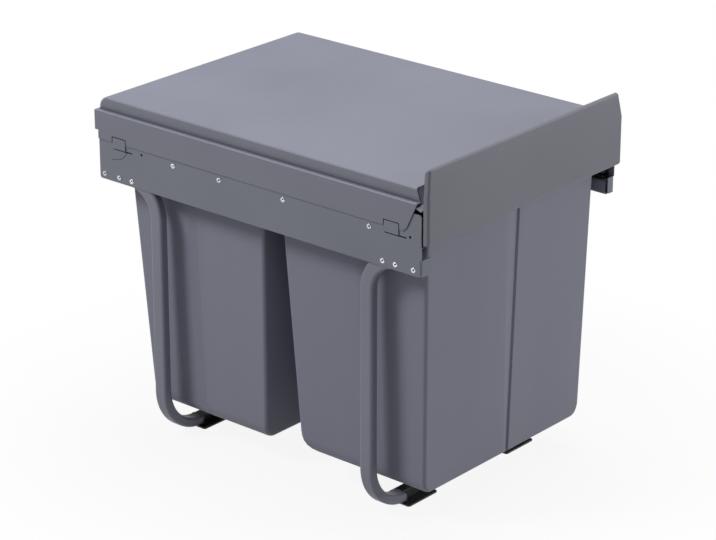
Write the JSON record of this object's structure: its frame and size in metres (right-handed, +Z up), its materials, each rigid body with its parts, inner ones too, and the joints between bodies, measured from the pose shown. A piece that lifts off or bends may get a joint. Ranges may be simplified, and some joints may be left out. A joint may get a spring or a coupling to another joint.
{
  "type": "pull out bin frame",
  "caption": "Pull-out waste bin unit: steel frame on bent tube legs with a fixed lid, and a front-panelled drawer on full-extension ball slides carrying lift-out bins.",
  "frame": {"origin": "on the floor, below the middle of the closed frame's bounding box", "axes": "+Z up, +Y from the front panel to the rear, +X to the right as seen from the front"},
  "size_m": [0.3412, 0.48, 0.4224],
  "materials": {
    "lid_paint": "fine satin powder coat",
    "panel_paint": "fine satin powder coat",
    "frame_paint": "fine satin powder coat",
    "leg_paint": "satin powder coat",
    "carrier_paint": "black electrocoat",
    "foot_black": "semi-gloss black coat",
    "slide_black": "black electrocoat, lightly oiled",
    "cage_steel": "rolled zinc-plated strip",
    "ball_steel": "polished",
    "rivet_metal": "bright drawn metal",
    "bin_plastic": "fine moulded texture",
    "rubber": "matt"
  },
  "bodies": {
    "fixed_frame": {"left_front_foot": "foot_black", "left_front_leg": "leg_paint", "left_rear_foot": "foot_black", "left_rear_leg": "leg_paint", "left_side_panel": "frame_paint", "left_slide_bumper": "rubber", "left_slide_outer_member": "slide_black", "leg_rivets": "rivet_metal", "lid": "lid_paint", "right_front_foot": "foot_black", "right_front_leg": "leg_paint", "right_rear_foot": "foot_black", "right_rear_leg": "leg_paint", "right_side_panel": "frame_paint", "right_slide_bumper": "rubber", "right_slide_outer_member": "slide_black", "slide_rivets": "rivet_metal"},
    "drawer": {"carrier_rivets": "rivet_metal", "divider_bar": "carrier_paint", "front_bin": "bin_plastic", "front_cross_member": "carrier_paint", "front_panel": "panel_paint", "left_carrier_rail": "carrier_paint", "left_slide_inner_member": "slide_black", "panel_nuts": "rivet_metal", "rear_bin": "bin_plastic", "rear_cross_member": "carrier_paint", "right_carrier_rail": "carrier_paint", "right_slide_inner_member": "slide_black"},
    "left_middle": {"left_slide_middle_member": "slide_black"},
    "left_outer_cage": {"left_outer_ball_cage": "cage_steel", "left_outer_balls": "ball_steel"},
    "left_inner_cage": {"left_inner_ball_cage": "cage_steel", "left_inner_balls": "ball_steel"},
    "right_middle": {"right_slide_middle_member": "slide_black"},
    "right_outer_cage": {"right_outer_ball_cage": "cage_steel", "right_outer_balls": "ball_steel"},
    "right_inner_cage": {"right_inner_ball_cage": "cage_steel", "right_inner_balls": "ball_steel"}
  },
  "joints": [
    {"name": "drawer_slide", "type": "slide", "parent": "fixed_frame", "child": "drawer", "axis": [0, -1, 0], "range_m": [0, 0.43]},
    {"name": "left_middle_slide", "type": "slide", "parent": "fixed_frame", "child": "left_middle", "axis": [0, -1, 0], "range_m": [0, 0.215]},
    {"name": "left_outer_cage_slide", "type": "slide", "parent": "fixed_frame", "child": "left_outer_cage", "axis": [0, -1, 0], "range_m": [0, 0.1075]},
    {"name": "left_inner_cage_slide", "type": "slide", "parent": "fixed_frame", "child": "left_inner_cage", "axis": [0, -1, 0], "range_m": [0, 0.3225]},
    {"name": "right_middle_slide", "type": "slide", "parent": "fixed_frame", "child": "right_middle", "axis": [0, -1, 0], "range_m": [0, 0.215]},
    {"name": "right_outer_cage_slide", "type": "slide", "parent": "fixed_frame", "child": "right_outer_cage", "axis": [0, -1, 0], "range_m": [0, 0.1075]},
    {"name": "right_inner_cage_slide", "type": "slide", "parent": "fixed_frame", "child": "right_inner_cage", "axis": [0, -1, 0], "range_m": [0, 0.3225]}
  ],
  "couplings": [
    {"joint": "left_middle_slide", "follows": "drawer_slide", "ratio": 0.5},
    {"joint": "left_outer_cage_slide", "follows": "drawer_slide", "ratio": 0.25},
    {"joint": "left_inner_cage_slide", "follows": "drawer_slide", "ratio": 0.75},
    {"joint": "right_middle_slide", "follows": "drawer_slide", "ratio": 0.5},
    {"joint": "right_outer_cage_slide", "follows": "drawer_slide", "ratio": 0.25},
    {"joint": "right_inner_cage_slide", "follows": "drawer_slide", "ratio": 0.75}
  ]
}
